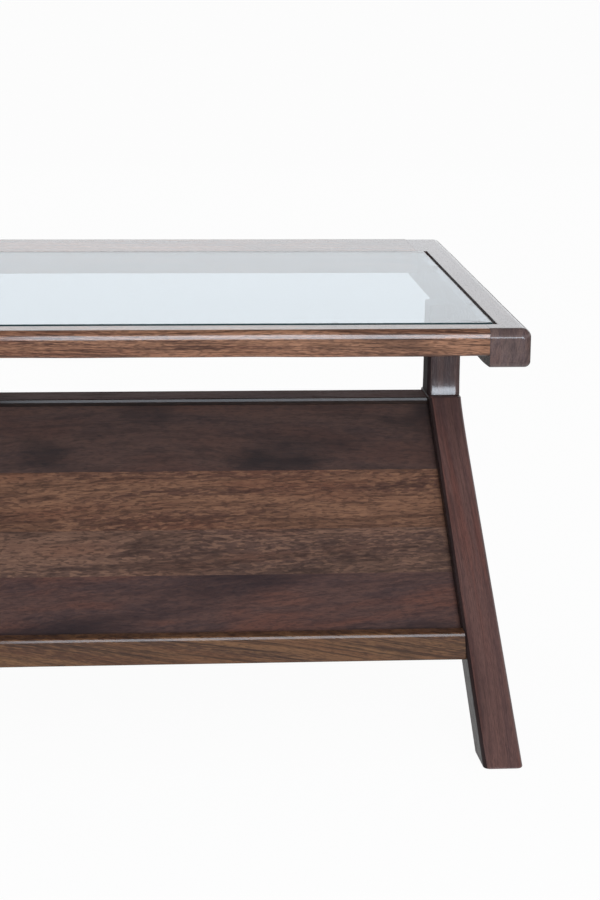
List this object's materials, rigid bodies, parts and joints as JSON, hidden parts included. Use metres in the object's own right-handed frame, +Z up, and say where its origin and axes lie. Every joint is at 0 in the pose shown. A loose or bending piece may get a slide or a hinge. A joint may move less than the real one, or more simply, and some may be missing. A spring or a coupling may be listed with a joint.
{
  "type": "collectors display table",
  "caption": "Low rectangular table with a glass top set in a dark wooden frame, raked splayed legs, and a sloped display panel with a ledge along each long side.",
  "frame": {"origin": "on the floor, under the middle of the top frame", "axes": "+X along the length, +Y from the pictured front to the back, +Z up"},
  "size_m": [1.1146, 0.6, 0.4798],
  "materials": {
    "rail_wood": "stained and lacquered, satin to gloss",
    "leg_wood": "stained and lacquered, satin to gloss",
    "ridge_wood": "stained and lacquered, satin to gloss",
    "ledge_wood": "stained and lacquered, satin to gloss",
    "cleat_wood": "stained and lacquered, satin to gloss",
    "dowel_wood": "bare beech",
    "stave_1_wood": "stained and lacquered, satin to gloss",
    "stave_2_wood": "stained and lacquered, satin to gloss",
    "stave_3_wood": "stained and lacquered, satin to gloss",
    "stave_4_wood": "stained and lacquered, satin to gloss",
    "glass": "clear float glass, ground edges",
    "clear_pad": "clear soft plastic",
    "screw_steel": "zinc plated"
  },
  "bodies": {
    "table": {"back_ledge": "ledge_wood", "back_rail": "rail_wood", "back_stave_1": "stave_1_wood", "back_stave_2": "stave_2_wood", "back_stave_3": "stave_3_wood", "back_stave_4": "stave_4_wood", "cleat_back_left": "cleat_wood", "cleat_back_right": "cleat_wood", "cleat_front_left": "cleat_wood", "cleat_front_right": "cleat_wood", "cleat_screws": "screw_steel", "end_rail_left": "rail_wood", "end_rail_right": "rail_wood", "front_ledge": "ledge_wood", "front_rail": "rail_wood", "front_stave_1": "stave_1_wood", "front_stave_2": "stave_2_wood", "front_stave_3": "stave_3_wood", "front_stave_4": "stave_4_wood", "glass_pads": "clear_pad", "ledge_dowels": "dowel_wood", "leg_back_left": "leg_wood", "leg_back_right": "leg_wood", "leg_dowels": "dowel_wood", "leg_front_left": "leg_wood", "leg_front_right": "leg_wood", "post_dowels": "dowel_wood", "post_left": "leg_wood", "post_right": "leg_wood", "rail_dowels": "dowel_wood", "ridge_dowels": "dowel_wood", "ridge_rail": "ridge_wood"},
    "glass": {"glass_pane": "glass"}
  },
  "joints": [
    {"name": "glass_lift", "type": "slide", "parent": "table", "child": "glass", "axis": [0, 0, 1], "range_m": [0, 0.12]}
  ]
}
